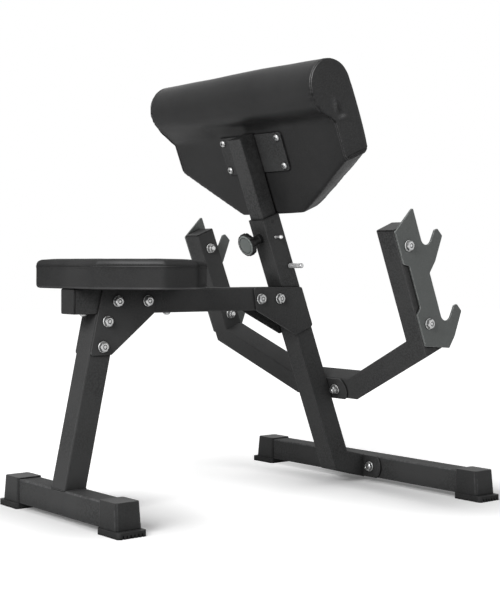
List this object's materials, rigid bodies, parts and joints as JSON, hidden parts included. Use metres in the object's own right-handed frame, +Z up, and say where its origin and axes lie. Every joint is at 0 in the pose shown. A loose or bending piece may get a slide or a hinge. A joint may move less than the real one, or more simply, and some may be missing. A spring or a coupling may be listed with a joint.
{
  "type": "preacher curl bench",
  "caption": "Free-standing preacher curl bench: padded seat on a bolted steel tube frame, height-adjustable rolled arm pad on a leaning post with spring pin, and bar rack hooks in front.",
  "frame": {"origin": "on the floor at the middle of the bench's whole width and depth", "axes": "+X to the sitter's right, +Y the way the sitter faces, from the seat to the bar rack, +Z up"},
  "size_m": [0.678, 0.7962, 0.823],
  "materials": {
    "frame_paint": "satin black powder coat with a very fine grain",
    "hook_paint": "satin grey-green powder coat",
    "foot_plastic": "matte moulded black",
    "zinc_steel": "bright zinc plating",
    "vinyl": "black grained vinyl with a soft sheen",
    "board_wood": "plywood under thin black backing cloth",
    "knob_plastic": "matte black",
    "disc_plastic": "satin grey-green"
  },
  "bodies": {
    "frame": {"bar_hook_left": "hook_paint", "bar_hook_right": "hook_paint", "base_bolts": "zinc_steel", "base_nuts": "zinc_steel", "base_plate": "frame_paint", "base_washers": "zinc_steel", "beam_plug": "foot_plastic", "front_base_tube": "frame_paint", "front_foot_left": "foot_plastic", "front_foot_right": "foot_plastic", "hook_bolts": "zinc_steel", "hook_nuts": "zinc_steel", "hook_washers": "zinc_steel", "main_beam": "frame_paint", "main_post": "frame_paint", "pin_barrel": "frame_paint", "pin_spring": "zinc_steel", "post_foot_stub": "frame_paint", "post_gusset_bolts": "zinc_steel", "post_gusset_left": "frame_paint", "post_gusset_nuts": "zinc_steel", "post_gusset_right": "frame_paint", "post_gusset_washers": "zinc_steel", "post_liner": "foot_plastic", "rack_arm_left": "frame_paint", "rack_arm_right": "frame_paint", "rack_bolts": "zinc_steel", "rack_crossbar": "frame_paint", "rack_nuts": "zinc_steel", "rack_plate": "frame_paint", "rack_plug_left": "foot_plastic", "rack_plug_right": "foot_plastic", "rack_upright_left": "frame_paint", "rack_upright_right": "frame_paint", "rack_washers": "zinc_steel", "rear_base_tube": "frame_paint", "rear_foot_left": "foot_plastic", "rear_foot_right": "foot_plastic", "seat_board": "board_wood", "seat_bolts": "zinc_steel", "seat_cushion": "vinyl", "seat_gusset_bolts": "zinc_steel", "seat_gusset_left": "frame_paint", "seat_gusset_nuts": "zinc_steel", "seat_gusset_right": "frame_paint", "seat_gusset_washers": "zinc_steel", "seat_inserts": "zinc_steel", "seat_leg": "frame_paint", "side_pegs": "zinc_steel"},
    "pad_carriage": {"pad_post": "frame_paint", "pad_post_plug": "foot_plastic", "pad_plate": "frame_paint", "pad_board": "board_wood", "pad_cushion": "vinyl", "pad_screws": "zinc_steel", "pad_inserts": "zinc_steel"},
    "pin": {"pin_plunger": "zinc_steel", "pin_knob": "knob_plastic", "knob_disc": "disc_plastic"}
  },
  "joints": [
    {"name": "pad_height", "type": "slide", "parent": "frame", "child": "pad_carriage", "axis": [0, -0.3649, 0.9311], "range_m": [0, 0.12]},
    {"name": "pin_pull", "type": "slide", "parent": "frame", "child": "pin", "axis": [0, 0.9311, 0.3649], "range_m": [0, 0.01], "stiffness_N_per_m": 400, "springref_m": 0.012, "deforming": ["pin_spring"]}
  ]
}
